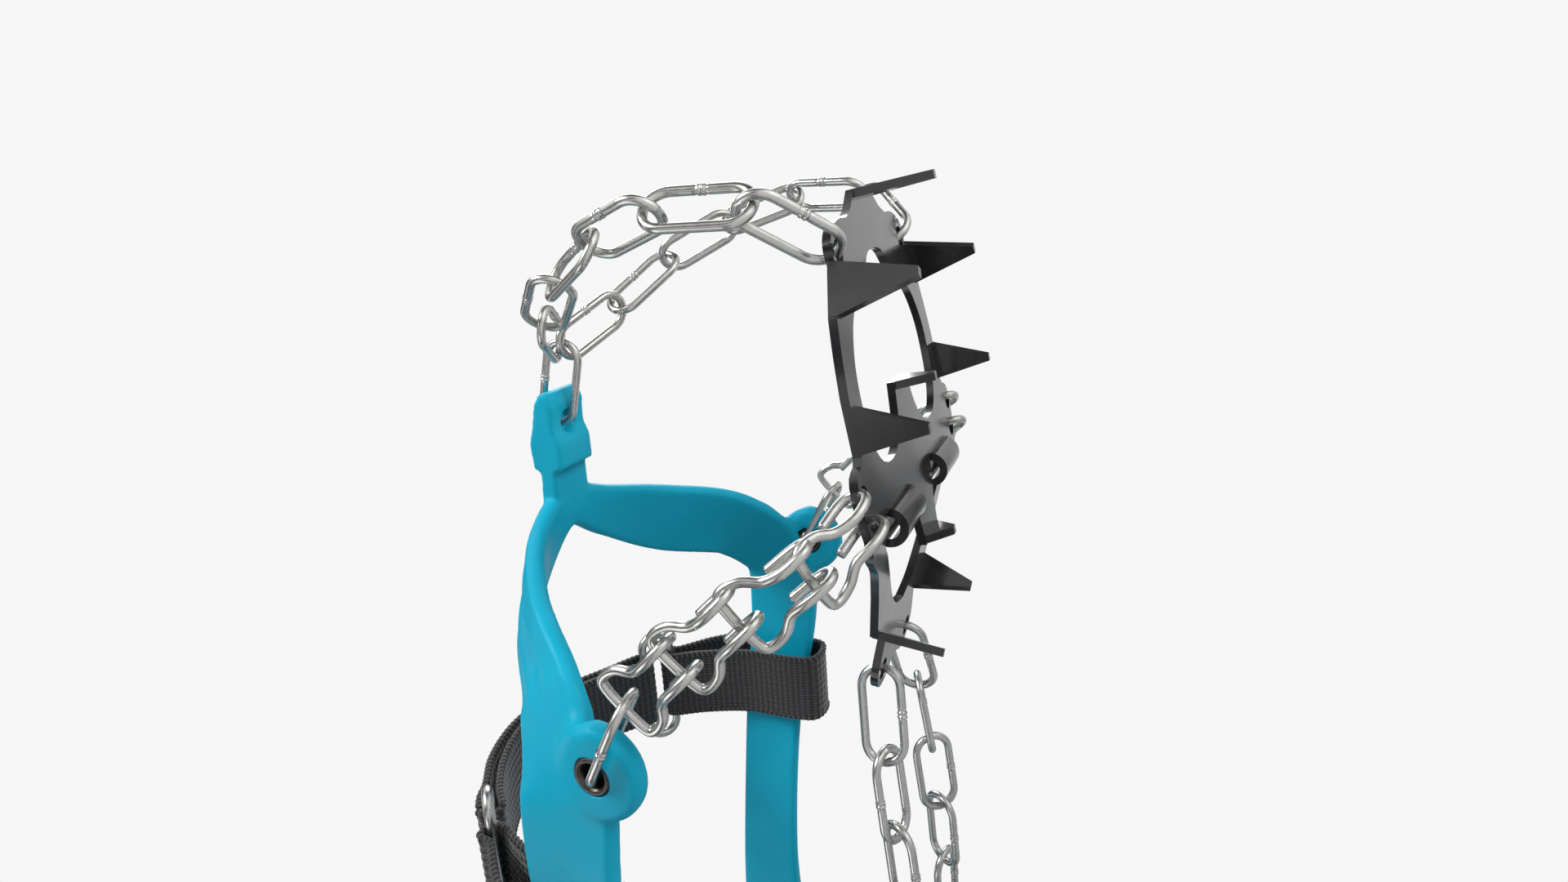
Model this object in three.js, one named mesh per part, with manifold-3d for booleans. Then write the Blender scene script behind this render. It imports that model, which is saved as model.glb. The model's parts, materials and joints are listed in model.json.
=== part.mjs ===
// Shoe ice cleats for one boot, as worn: an elastomer harness, welded link chains,
// wire ladder chains, two spiked steel plates, a webbing instep strap.
// Millimetres. +X points to the toe, +Z up, -Y is the right side.
// The origin is the middle of the boot's tread plane, between the two plates.
import * as THREE from 'three';
import { mergeVertices } from 'three/addons/utils/BufferGeometryUtils.js';
import Module from 'manifold-3d';

const wasm = await Module();
wasm.setup();

// ---- driving dimensions -------------------------------------------------
const GAP = 0.35;                 // free space between touching pieces
const LINK_SLACK = 0.7;           // play between two links, centre line to centre line
const SHEET = 1.6;                // spiked plates are pressed from this sheet
const WIRE = 1.8;                 // welded chain wire
const LINK_LENGTH = 21;           // outside length of a link
const LINK_WIDTH = 10;            // outside width of a link
const LINK_SIDES = 6;
const LINK_STEPS = 12;            // a multiple of four
const LADDER_WIRE = 1.8;          // bent wire of the ladder chains
const LADDER_PITCH = 13.5;
const LADDER_HOOK_SPACING = 6.2;  // between an element's two hooks
const LADDER_WIDE = 12.4;         // arm spacing at the crossbar end
const LADDER_STEPS = 38;
const BEND_X = 69;                // the front plate bends across the ball of the foot
const TOE_TILT = THREE.MathUtils.degToRad(10);
const SPIKE_HEIGHT = 14;
const SPIKE_TIP = 1.6;            // width left at a spike's blunt tip
const BAND_THICKNESS = 4.2;       // elastomer harness
const BAND_STATIONS = 60;
const EAR_RADIUS = 9.5;
const EAR_THICKNESS = 4.6;
const GROMMET_FLANGE_RADIUS = 3.8;
const GROMMET_HOLE_RADIUS = 2.4;
const GROMMET_WALL = 0.5;
const WEBBING = 1.5;              // strap webbing
const STRAP_WIDTH = 20;
const STRAP_X = -12;              // the instep strap's middle
const RING_WIRE = 2.4;            // oval strap rings
const RING_LENGTH = 35;
const LADDER_TAIL = 5.4;          // a ladder hook's cut tail runs back this far
const WING_HOLE_X = 5.1;          // middle of the two ladder holes, from the bend line
const WING_HOLE_Y = 34.1;
const WING_HOLE_TURN = THREE.MathUtils.degToRad(12);   // the pair of holes is turned this much
const REAR_HOLE_X = 37.8;         // front plate's rear corner holes
const REAR_HOLE_Y = 9.8;
const TOOTH_RADIUS = 3.7;         // outside radius of the rolled teeth
const TOOTH_AT = [-1.2, -0.9];    // their middle, from the bend line
const HEEL_PLATE_X = -98.6;       // the heel plate's own origin
const HEEL_FRONT_HOLE = [29, 20.8];
const HEEL_SIDE_HOLE = [2, 28.6];
const TAB_HOLE_X = 79;
const TOE_HOLE = [47.2, 21.2];    // front plate's front corner holes

const LINK_PITCH = LINK_LENGTH - 2 * WIRE - LINK_SLACK;
const HOOK_RADIUS = LADDER_WIRE + 0.9;               // centreline radius of a ladder hook

// ---- materials ----------------------------------------------------------
const FINISHES = {
  elastomer: { color: 0x10a3c2, roughness: 0.5, metalness: 0 },
  steel: { color: 0xc9c9c6, roughness: 0.25, metalness: 1 },
  black: { color: 0x0b0b0c, roughness: 0.28, metalness: 0.3 },
  grommet: { color: 0x5b5450, roughness: 0.45, metalness: 0.9 },
  webbing: { color: 0x151517, roughness: 0.9, metalness: 0 },
};

const model = new THREE.Group();

function addPiece(name, geometry, finish, matrix = new THREE.Matrix4()) {
  const mesh = new THREE.Mesh(geometry, new THREE.MeshStandardMaterial(FINISHES[finish]));
  mesh.name = name;
  matrix.decompose(mesh.position, mesh.quaternion, mesh.scale);
  model.add(mesh);
  return mesh;
}

// ---- solids -------------------------------------------------------------
function bare(geometry) {
  const plain = geometry.clone();
  plain.deleteAttribute('normal');
  plain.deleteAttribute('uv');
  return mergeVertices(plain, 1e-4);
}

function toSolid(geometry) {
  const merged = bare(geometry);
  return new wasm.Manifold(new wasm.Mesh({
    numProp: 3,
    vertProperties: Float32Array.from(merged.attributes.position.array),
    triVerts: Uint32Array.from(merged.index.array),
  }));
}

function toGeometry(solid) {
  const mesh = solid.getMesh();
  const geometry = new THREE.BufferGeometry();
  geometry.setAttribute('position', new THREE.BufferAttribute(mesh.vertProperties, 3));
  geometry.setIndex(new THREE.BufferAttribute(mesh.triVerts, 1));
  return geometry;
}

function joined(parts) {
  return parts.reduce((whole, part) => whole.add(part));
}

function extruded(shape, depth, curveSegments = 8) {
  return new THREE.ExtrudeGeometry(shape, { depth, bevelEnabled: false, curveSegments });
}

// A frame whose columns are the given X and Z directions (made square), at an origin.
function frameFrom(origin, xDirection, zHint) {
  const x = xDirection.clone().normalize();
  const y = new THREE.Vector3().crossVectors(zHint, x).normalize();
  const z = new THREE.Vector3().crossVectors(x, y);
  return new THREE.Matrix4().makeBasis(x, y, z).setPosition(origin);
}

function vec(x, y, z) {
  return new THREE.Vector3(x, y, z);
}

function mirrorY(point) {
  return vec(point.x, -point.y, point.z);
}

function wireCircle(radius, sides = LINK_SIDES) {
  const shape = new THREE.Shape();
  for (let i = 0; i < sides; i++) {
    const angle = (i / sides) * 2 * Math.PI;
    const point = [radius * Math.cos(angle), radius * Math.sin(angle)];
    if (i === 0) shape.moveTo(...point);
    else shape.lineTo(...point);
  }
  shape.closePath();
  return shape;
}

// ---- welded oval link ---------------------------------------------------
// A ring of round wire, pulled apart at its middle into an oval in the XY plane.
function ovalRing(length, width, wire, steps = LINK_STEPS, sides = LINK_SIDES) {
  const ring = new THREE.TorusGeometry((width - wire) / 2, wire / 2, sides, steps);
  ring.rotateZ(Math.PI / steps);
  const position = ring.attributes.position;
  for (let i = 0; i < position.count; i++) {
    const x = position.getX(i);
    position.setX(i, x + (Math.sign(x) * (length - width)) / 2);
  }
  return ring;
}

const linkGeometry = ovalRing(LINK_LENGTH, LINK_WIDTH, WIRE);

// Joint points one pitch apart (straight-line distance) along a route.
function pitchPoints(route, count, pitch) {
  const fine = 4000;
  const points = [route.getPointAt(0)];
  let step = 0;
  while (points.length <= count && step < fine) {
    step += 1;
    const candidate = route.getPointAt(step / fine);
    if (candidate.distanceTo(points[points.length - 1]) >= pitch) points.push(candidate);
  }
  return points;
}

// Each link's plane stands square to its neighbour's; a small even twist along the
// chain brings the last link's plane normal to the wanted direction.
function chainFrames(points, firstNormal, lastNormal) {
  const count = points.length - 1;
  function run(twist) {
    const frames = [];
    let normal = firstNormal.clone();
    for (let i = 0; i < count; i++) {
      const along = new THREE.Vector3().subVectors(points[i + 1], points[i]).normalize();
      if (i > 0) {
        normal = new THREE.Vector3().crossVectors(along, normal).normalize();
        normal.applyAxisAngle(along, twist);
      } else {
        normal.addScaledVector(along, -normal.dot(along)).normalize();
      }
      const middle = points[i].clone().add(points[i + 1]).multiplyScalar(0.5);
      frames.push({ along, normal: normal.clone(), middle });
    }
    return frames;
  }
  if (!lastNormal || count < 2) return run(0);
  const last = run(0)[count - 1];
  const wanted = lastNormal.clone().addScaledVector(last.along, -lastNormal.dot(last.along)).normalize();
  if (wanted.dot(last.normal) < 0) wanted.negate();
  const side = new THREE.Vector3().crossVectors(last.normal, wanted).dot(last.along);
  return run(Math.atan2(side, wanted.dot(last.normal)) / (count - 1));
}

function addChain(prefix, points, firstNormal, lastNormal) {
  chainFrames(points, firstNormal, lastNormal).forEach(({ along, normal, middle }, i) => {
    addPiece(`${prefix}_${i + 1}`, linkGeometry.clone(), 'steel', frameFrom(middle, along, normal));
  });
}

// ---- plates -------------------------------------------------------------
// A half outline (y >= 0, front to rear) closed by its mirror image.
function mirroredShape(half) {
  const rest = half.filter(([, y]) => y > 1e-6).reverse().map(([x, y]) => [x, -y]);
  return new THREE.Shape([...half, ...rest].map(([x, y]) => new THREE.Vector2(x, y)));
}

function smooth(points, count) {
  const curve = new THREE.SplineCurve(points.map(([x, y]) => new THREE.Vector2(x, y)));
  return curve.getSpacedPoints(count).map((p) => [p.x, p.y]);
}

function sheetOf(shape) {
  return toSolid(extruded(shape, SHEET).translate(0, 0, -SHEET));
}

function holeAt(x, y, radius, segments = 12) {
  const drill = new THREE.CylinderGeometry(radius, radius, 6 * SHEET, segments);
  return toSolid(drill.rotateX(Math.PI / 2).translate(x, y, 0));
}

// A spike bent down from the sheet's edge between two base points. Its tip stands
// below a point part-way (lean, 0 to 1) along the base.
function spike(from, to, height, lean) {
  const base = Math.hypot(to[0] - from[0], to[1] - from[1]);
  const tip = lean * (base - SPIKE_TIP);
  const blade = new THREE.Shape([
    [0, -SHEET * 0.25], [base, -SHEET * 0.25], [base, -SHEET],
    [tip + SPIKE_TIP, -SHEET - height], [tip, -SHEET - height], [0, -SHEET],
  ].map(([x, y]) => new THREE.Vector2(x, y)));
  const geometry = extruded(blade, SHEET).translate(0, 0, -SHEET / 2);
  geometry.rotateX(Math.PI / 2);
  geometry.rotateZ(Math.atan2(to[1] - from[1], to[0] - from[0]));
  return toSolid(geometry.translate(from[0], from[1], 0));
}

// A strip of sheet rolled down and back from the slot's front edge into an open tube.
function rolledTooth(fromY, toY) {
  const sweep = THREE.MathUtils.degToRad(262);
  const start = THREE.MathUtils.degToRad(12);
  const steps = 24;
  const rim = [];
  const bore = [];
  for (let i = 0; i <= steps; i++) {
    const angle = start - (i / steps) * sweep;
    rim.push(new THREE.Vector2(Math.cos(angle), Math.sin(angle)).multiplyScalar(TOOTH_RADIUS));
    bore.push(new THREE.Vector2(Math.cos(angle), Math.sin(angle)).multiplyScalar(TOOTH_RADIUS - SHEET));
  }
  const shape = new THREE.Shape([...rim, ...bore.reverse()]);
  const tube = extruded(shape, toY - fromY).rotateX(Math.PI / 2);
  return toSolid(tube.translate(TOOTH_AT[0], toY, TOOTH_AT[1]));
}

function bothSides(make) {
  return [make(1), make(-1)];
}

// Base ends of the front plate's rear spikes, on its left half.
const REAR_SPIKE = [[-25.3, 20.3], [-29.7, 12.2]];

// Front plate, drawn flat with the bend line at x = 0 and split there.
function frontPlate() {
  const outline = [
    [57.5, 0], [57.5, 5], [54, 9.5],
    ...smooth([[52.6, 13], [52.5, 18], [50.8, 22.5], [48.1, 24.5], [45.2, 24.1]], 14),
    ...smooth([[37, 29.2], [31, 30.8], [24, 32]], 6),
    [14, 32],
    ...smooth([
      [12.8, 33], [11.5, 36.1], [7.5, 37], [1.5, 35.8], [-3.5, 33.8], [-8, 28.6], [-15, 24.6],
    ], 22),
    ...REAR_SPIKE,
    ...smooth([[-32.5, 13], [-37.5, 14], [-41.4, 11.4], [-41.8, 6.5], [-40.2, 2.5]], 14),
    [-40, 0],
  ];
  const window = [
    ...smooth([[46.5, 0], [45.6, 5], [42, 9], [39, 14], [36, 20.5], [29, 25], [21, 26],
      [14, 24.5], [9.6, 20], [9.2, 13], [12, 8.5], [15.5, 6.2]], 48),
    [21, 4.6], [21, 0],
  ];
  const rearOpening = [
    [-1.5, 8.6], [1.9, 9.6], [1.9, 26], [-3.6, 26],
    ...smooth([[-6.8, 22.6], [-12, 18.5], [-19, 13], [-24, 7], [-26, 0]], 18),
    [-26, -0.5], [-12, -0.5], [-12, 5.4], [-6, 6.4],
  ];
  const openingShape = (side) => new THREE.Shape(
    rearOpening.map(([x, y]) => new THREE.Vector2(x, side * y)),
  );
  const thick = (shape) => toSolid(extruded(shape, 6 * SHEET).translate(0, 0, -4 * SHEET));
  let blank = sheetOf(mirroredShape(outline)).subtract(thick(mirroredShape(window)));
  blank = bothSides((side) => thick(openingShape(side))).reduce((b, cut) => b.subtract(cut), blank);
  for (const side of [1, -1]) {
    for (const offset of [LADDER_HOOK_SPACING / 2, -LADDER_HOOK_SPACING / 2]) {
      const x = WING_HOLE_X + offset * Math.cos(WING_HOLE_TURN);
      const y = WING_HOLE_Y + offset * Math.sin(WING_HOLE_TURN);
      blank = blank.subtract(holeAt(x, side * y, 1.9, 24));
    }
    blank = blank.subtract(holeAt(TOE_HOLE[0], side * TOE_HOLE[1], 2.2, 24));
    blank = blank.subtract(holeAt(-REAR_HOLE_X, side * REAR_HOLE_Y, 2.3, 24));
  }
  const half = (sign) => {
    const block = new THREE.BoxGeometry(80, 100, 20).translate(sign * 40, 0, 0);
    return toSolid(block);
  };
  const tongueKeep = toSolid(new THREE.BoxGeometry(16, 20, 20).translate(-7.9, 0, 0));
  const front = joined([
    blank.intersect(half(1).add(tongueKeep)),
    spike([57.5 - SHEET / 2, -5], [57.5 - SHEET / 2, 5], SPIKE_HEIGHT, 0.5),
    ...bothSides((side) => spike([45.6, side * 23.7], [37, side * 28.4], SPIKE_HEIGHT, 0.5)),
    ...bothSides((side) => spike([22.6, side * 31.2], [14.4, side * 31.2], SPIKE_HEIGHT - 2, 0.7)),
    spike([21 - SHEET / 2, -4], [21 - SHEET / 2, 4], SPIKE_HEIGHT / 2, 0.5),
    spike([-12 + SHEET / 2, -4.6], [-12 + SHEET / 2, 4.6], SPIKE_HEIGHT / 3, 0.5),
    rolledTooth(10.4, 24.2),
    rolledTooth(-24.2, -10.4),
  ]);
  const rear = joined([
    blank.intersect(half(-1)).subtract(tongueKeep),
    ...bothSides((side) => {
      const inset = REAR_SPIKE.map(([x, y]) => [x + 0.6, side * (y - 0.3)]);
      return spike(...inset, SPIKE_HEIGHT - 2, 0.6);
    }),
  ]);
  // The outside of the bend is a knuckle as wide as the two rails it joins.
  const knuckle = (side) => {
    const arc = new THREE.CylinderGeometry(SHEET, SHEET, 9.9, 16).translate(0, side * 30.75, 0);
    const under = new THREE.BoxGeometry(SHEET / 2, 20, SHEET).translate(0, side * 30.75, -SHEET / 2);
    return toSolid(arc).intersect(toSolid(under));
  };
  const tilted = (solid, angle) => toSolid(toGeometry(solid).rotateY(angle));
  return joined([tilted(front, -TOE_TILT), tilted(rear, TOE_TILT), ...bothSides(knuckle)]);
}

function heelPlate() {
  const outline = [
    [33, 0], [33, 5],
    ...smooth([[30, 9], [31, 15], [33.5, 20], [31, 25.5], [25, 26]], 14),
    ...smooth([[16, 27.4], [9, 29], [5, 33], [-1, 33], [-5, 29.2]], 14),
    [-13, 28.4], [-22, 26.6],
    ...smooth([[-27, 20.5], [-30, 12], [-31.5, 5]], 8),
    [-31.5, 0],
  ];
  const window = smooth([[25, 0], [23.5, 8], [20, 15], [12, 19.5], [2, 20.6], [-8, 19.6], [-17, 15.5],
    [-23, 8], [-24.6, 0]], 36);
  const thick = (shape) => toSolid(extruded(shape, 6 * SHEET).translate(0, 0, -4 * SHEET));
  let plate = sheetOf(mirroredShape(outline)).subtract(thick(mirroredShape(window)));
  const bridge = new THREE.BoxGeometry(9, 44, SHEET).translate(3, 0, -SHEET / 2);
  plate = plate.add(toSolid(bridge));
  for (const side of [1, -1]) {
    for (const [x, y] of [HEEL_FRONT_HOLE, HEEL_SIDE_HOLE]) {
      plate = plate.subtract(holeAt(x, side * y, 2.3, 24));
    }
  }
  return joined([
    plate,
    spike([33 - SHEET / 2, -5], [33 - SHEET / 2, 5], SPIKE_HEIGHT, 0.5),
    ...bothSides((side) => spike([24.4, side * 25.2], [16, side * 26.6], SPIKE_HEIGHT, 0)),
    ...bothSides((side) => spike([-22, side * 25.8], [-13, side * 27.6], SPIKE_HEIGHT - 1, 0)),
    spike([-31.5 + SHEET / 2, -5], [-31.5 + SHEET / 2, 5], SPIKE_HEIGHT, 0.5),
    ...bothSides((side) => spike([3, side * 9 - 4], [3, side * 9 + 4], SPIKE_HEIGHT / 2, 0.5)),
  ]);
}

addPiece('front_spike_plate', toGeometry(frontPlate()).translate(BEND_X, 0, 0), 'black');
addPiece('heel_spike_plate', toGeometry(heelPlate()).translate(HEEL_PLATE_X, 0, 0), 'black');

// A point of the tilted front portion, given in its flat drawing.
function onFront(x, y, z) {
  return vec(x, y, z).applyAxisAngle(vec(0, 1, 0), -TOE_TILT).add(vec(BEND_X, 0, 0));
}

function onRear(x, y, z) {
  return vec(x, y, z).applyAxisAngle(vec(0, 1, 0), TOE_TILT).add(vec(BEND_X, 0, 0));
}

// ---- harness ------------------------------------------------------------
// Right half of the band, from the toe's centre to the heel's centre: a point on the
// band's middle surface, its outward direction and the band's half width there.
const BAND = [
  { at: [58, 0, 84], out: [0.05, 0, 1], half: 5 },
  { at: [52.5, -13, 82.6], out: [0.12, -0.35, 0.93], half: 6.5 },
  { at: [45, -29, 75], out: [0.14, -0.80, 0.58], half: 9.5 },
  { at: [38, -44, 61.5], out: [0.08, -0.97, 0.20], half: 10 },
  { at: [26, -53, 53], out: [0.02, -1, 0.08], half: 10.5 },
  { at: [10, -54.5, 53], out: [0, -1, 0.04], half: 10 },
  { at: [-25, -50, 57], out: [0, -1, 0.02], half: 8.5 },
  { at: [-65, -43, 58], out: [0, -1, 0], half: 8.5 },
  { at: [-100, -40, 58], out: [-0.08, -1, 0], half: 10 },
  { at: [-132, -30, 62], out: [-0.6, -0.8, 0], half: 9.5 },
  { at: [-151, 0, 66], out: [-1, 0, 0], half: 12 },
];

const bandRing = [...BAND, ...BAND.slice(1, -1).reverse().map(({ at, out, half }) => (
  { at: [at[0], -at[1], at[2]], out: [out[0], -out[1], out[2]], half }
))];
const closedCurve = (points) => new THREE.CatmullRomCurve3(points, true, 'centripetal');
const bandMiddle = closedCurve(bandRing.map(({ at }) => vec(...at)));
const bandOutward = closedCurve(bandRing.map(({ out }) => vec(...out)));
const bandHalf = closedCurve(bandRing.map(({ half }, i) => vec(half, 3 * i, 0)));

function bandSolid() {
  const positions = [];
  for (let i = 0; i < BAND_STATIONS; i++) {
    const t = i / BAND_STATIONS;
    const middle = bandMiddle.getPoint(t);
    const outward = bandOutward.getPoint(t).normalize();
    const along = bandMiddle.getTangent(t);
    const across = new THREE.Vector3().crossVectors(along, outward).normalize();
    const half = bandHalf.getPoint(t).x;
    for (const [a, b] of [[-1, -1], [1, -1], [1, 1], [-1, 1]]) {
      const corner = middle.clone().addScaledVector(across, a * half);
      corner.addScaledVector(outward, (b * BAND_THICKNESS) / 2);
      positions.push(corner.x, corner.y, corner.z);
    }
  }
  const index = [];
  for (let i = 0; i < BAND_STATIONS; i++) {
    for (let j = 0; j < 4; j++) {
      const a = i * 4 + j;
      const b = i * 4 + ((j + 1) % 4);
      const c = ((i + 1) % BAND_STATIONS) * 4 + j;
      const d = ((i + 1) % BAND_STATIONS) * 4 + ((j + 1) % 4);
      index.push(a, c, b, b, c, d);
    }
  }
  const geometry = new THREE.BufferGeometry();
  geometry.setAttribute('position', new THREE.BufferAttribute(new Float32Array(positions), 3));
  geometry.setIndex(index);
  return toSolid(geometry);
}

// The ears that the side chains pull on: round pads below the band.
const EARS = [
  { name: 'front', at: [31.3, -55.2, 43.9], out: [0.02, -1, 0.06] },
  { name: 'rear', at: [-100, -41, 45], out: [-0.06, -1, 0] },
];

function earFrame(ear, side) {
  const at = vec(...ear.at);
  const out = vec(...ear.out).normalize();
  if (side > 0) {
    at.y *= -1;
    out.y *= -1;
  }
  return frameFrom(at, vec(1, 0, 0), out);
}

function disc(radius, thickness, segments, matrix) {
  const geometry = new THREE.CylinderGeometry(radius, radius, thickness, segments).rotateX(Math.PI / 2);
  return toSolid(geometry.applyMatrix4(matrix));
}

function harness() {
  let body = bandSolid();
  const tabSide = new THREE.Shape([
    [58, 81.9], [58, 86.1], [68.2, 85.9], [68.9, 87.4], [75, 87.4], [78.5, 86], [84.5, 84.6], [86.8, 82.8],
    [86.2, 80.8], [83.5, 80.1], [78, 80.9], [74.5, 79.4], [68.9, 79.4], [68.2, 81.6],
  ].map(([x, z]) => new THREE.Vector2(x, z)));
  const tab = extruded(tabSide, 13).rotateX(Math.PI / 2).translate(0, 6.5, 0);
  body = body.add(toSolid(tab));
  body = body.subtract(toSolid(new THREE.CylinderGeometry(3, 3, 20, 14)
    .rotateX(Math.PI / 2).translate(TAB_HOLE_X, 0, 83)));
  for (const ear of EARS) {
    for (const side of [-1, 1]) {
      const matrix = earFrame(ear, side);
      const upper = new THREE.BoxGeometry(1.7 * EAR_RADIUS, EAR_RADIUS, EAR_THICKNESS);
      body = body.add(disc(EAR_RADIUS, EAR_THICKNESS, 28, matrix));
      body = body.add(toSolid(upper.translate(0, -side * EAR_RADIUS / 2, 0).applyMatrix4(matrix)));
      body = body.subtract(disc(GROMMET_HOLE_RADIUS + GROMMET_WALL + GAP, 3 * EAR_THICKNESS, 16, matrix));
      for (const face of [1, -1]) {
        const depth = EAR_THICKNESS - GROMMET_WALL - GAP;
        const seat = matrix.clone().multiply(new THREE.Matrix4().makeTranslation(0, 0, face * depth));
        body = body.subtract(disc(GROMMET_FLANGE_RADIUS + GAP, EAR_THICKNESS, 20, seat));
      }
    }
  }
  return body;
}
addPiece('harness', toGeometry(harness()), 'elastomer');

// A grommet is a short tube through the ear with a flange on each face.
function grommet() {
  const rim = EAR_THICKNESS / 2;
  const face = rim - GROMMET_WALL;
  const bore = GROMMET_HOLE_RADIUS;
  const wall = bore + GROMMET_WALL;
  const profile = [
    [bore, -rim], [GROMMET_FLANGE_RADIUS, -rim], [GROMMET_FLANGE_RADIUS, -face], [wall, -face],
    [wall, face], [GROMMET_FLANGE_RADIUS, face], [GROMMET_FLANGE_RADIUS, rim], [bore, rim], [bore, -rim],
  ];
  const points = profile.map(([r, z]) => new THREE.Vector2(r, z));
  return new THREE.LatheGeometry(points, 14).rotateX(Math.PI / 2);
}

for (const ear of EARS) {
  addPiece(`right_${ear.name}_grommet`, grommet(), 'grommet', earFrame(ear, -1));
  addPiece(`left_${ear.name}_grommet`, grommet(), 'grommet', earFrame(ear, 1));
}

// ---- link chains --------------------------------------------------------
const SIDES = [{ name: 'right', sign: -1 }, { name: 'left', sign: 1 }];
const UP = vec(0, 0, 1);
const CROWN_REACH = (WIRE + LINK_SLACK) / 2;   // a link's end lies this far past its joint point

function route(points) {
  return new THREE.CatmullRomCurve3(points.map((p) => vec(...p)), false, 'centripetal');
}

// One link on the centre line pulls on the harness tab, and both toe chains pull on it.
const toeLinkEnds = [vec(TAB_HOLE_X + CROWN_REACH, 0, 83.4), vec(95.6, 0, 79.4)];
addChain('toe_link', toeLinkEnds, vec(0, 1, 0));

for (const { name, sign } of SIDES) {
  const y = (value) => sign * value;
  const toeEnd = toeLinkEnds[1];
  const bow = sign > 0 ? 0.9 : 0;   // the chain that starts lower bows out to the same hole
  const toe = route([
    [toeEnd.x + 0.9, y(-0.75), toeEnd.z + 0.1 - sign * 1.3], [103.4, y(13), 73.2 - sign * 0.9],
    [112.7 + bow, y(23 + bow), 62.6], [120.7 + bow, y(30.1 + bow), 47], [125 + bow, y(34.2 + bow), 31.4],
    [125 + bow, y(33.2 + bow), 21], [121.8, y(28.8), 12.8], [114.6, y(20.2), 6.5],
  ]);
  addChain(`${name}_toe_chain`, pitchPoints(toe, 6, LINK_PITCH), UP, vec(0.6, y(-0.8), 0));

  const rearHole = onRear(-REAR_HOLE_X, y(REAR_HOLE_Y), -SHEET / 2);
  const heelHole = vec(HEEL_PLATE_X + HEEL_FRONT_HOLE[0], y(HEEL_FRONT_HOLE[1]), -SHEET / 2);
  const sole = route([
    [rearHole.x - CROWN_REACH, rearHole.y, rearHole.z], [14, y(15), 3.6], [-22, y(17), -0.6],
    [-60, y(19.6), -1.2], [heelHole.x - 2, heelHole.y, heelHole.z],
  ]);
  addChain(`${name}_sole_chain`, pitchPoints(sole, 6, LINK_PITCH), vec(0, 1, 0), vec(0, 1, 0));

  const sideHole = vec(HEEL_PLATE_X + HEEL_SIDE_HOLE[0], y(HEEL_SIDE_HOLE[1]), -SHEET / 2);
  const heel = route([
    [sideHole.x, sideHole.y + y(CROWN_REACH), sideHole.z - 0.2], [sideHole.x, y(38.6), 4.2],
    [sideHole.x - 0.4, y(42.4), 16.4], [EARS[1].at[0], y(41.4), 30], [EARS[1].at[0], y(-EARS[1].at[1]), 47],
  ]);
  addChain(`${name}_heel_chain`, pitchPoints(heel, 3, LINK_PITCH), vec(1, 0, 0), vec(1, 0, 0));
}

// ---- ladder chains ------------------------------------------------------
// One element is a single bent wire: a crossbar, two waved arms and two hooks whose
// cut tails lie back along the arms. Its crossbar's middle is the local origin, the
// hooks turn about a line one pitch away, and +Z faces outward.
function ladderPath() {
  const wide = LADDER_WIDE / 2;
  const narrow = LADDER_HOOK_SPACING / 2;
  const arm = [
    [0, wide - 1.6, 0], [0.5, wide - 0.4, 0], [1.9, wide, 0.1], [4.6, wide - 0.6, 0.5],
    [7.4, narrow + 0.45, 1.3], [10.6, narrow, HOOK_RADIUS - 0.05],
  ];
  for (let i = 0; i <= 4; i++) {
    const angle = (i / 4) * Math.PI;
    arm.push([
      LADDER_PITCH + HOOK_RADIUS * Math.sin(angle), narrow, HOOK_RADIUS * Math.cos(angle),
    ]);
  }
  arm.push([LADDER_PITCH - LADDER_TAIL, narrow, -HOOK_RADIUS]);
  const far = arm.map(([x, y, z]) => vec(x, y, z));
  const near = far.map(mirrorY).reverse();
  return new THREE.CatmullRomCurve3([...near, ...far], false, 'centripetal');
}

const ladderGeometry = new THREE.ExtrudeGeometry(wireCircle(LADDER_WIRE / 2), {
  extrudePath: ladderPath(), steps: LADDER_STEPS, bevelEnabled: false,
});

for (const { name, sign } of SIDES) {
  const y = (value) => sign * value;
  const lip = onFront(WING_HOLE_X, y(WING_HOLE_Y + HOOK_RADIUS), -SHEET / 2);
  const side = route([
    [lip.x, lip.y, lip.z],
    [70, y(47.8), 5], [63.6, y(53.4), 16], [54.6, y(55.8), 26.8], [43, y(56.2), 38.8],
  ]);
  const joints = pitchPoints(side, 4, LADDER_PITCH);
  const acrossStart = onFront(Math.cos(WING_HOLE_TURN), y(Math.sin(WING_HOLE_TURN)), 0)
    .sub(onFront(0, 0, 0));
  const acrossEnd = vec(0.84, 0, 0.54);
  for (let i = 0; i < 4; i++) {
    const toHook = new THREE.Vector3().subVectors(joints[i], joints[i + 1]).normalize();
    const across = acrossStart.clone().lerp(acrossEnd, (i + 0.8) / 4.2);
    const outward = new THREE.Vector3().crossVectors(toHook, across).multiplyScalar(-sign);
    const frame = frameFrom(joints[i + 1], toHook, outward);
    addPiece(`${name}_ladder_${i + 1}`, ladderGeometry.clone(), 'steel', frame);
  }
  const ear = vec(EARS[0].at[0], y(-EARS[0].at[1]), EARS[0].at[2]);
  const reach = new THREE.Vector3().subVectors(ear, joints[4]).normalize();
  const past = (LADDER_WIRE + WIRE) / 2 + GAP;   // the link's crown beyond the crossbar
  const start = joints[4].clone().addScaledVector(reach, CROWN_REACH - past);
  const end = start.clone().addScaledVector(reach, LINK_PITCH);
  addChain(`${name}_ear_link`, [start, end], vec(0.6, 0, -0.8));
}

// ---- instep strap -------------------------------------------------------
const STRAP_BAR = [34, 90.5];        // the strap's bar of each ring, as [outward, up]
const LOOP_BAR = [40.4, 84.8];       // the harness loop's bar of each ring
const TURN = RING_WIRE / 2 + 1.7 * GAP + WEBBING / 2;

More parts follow.
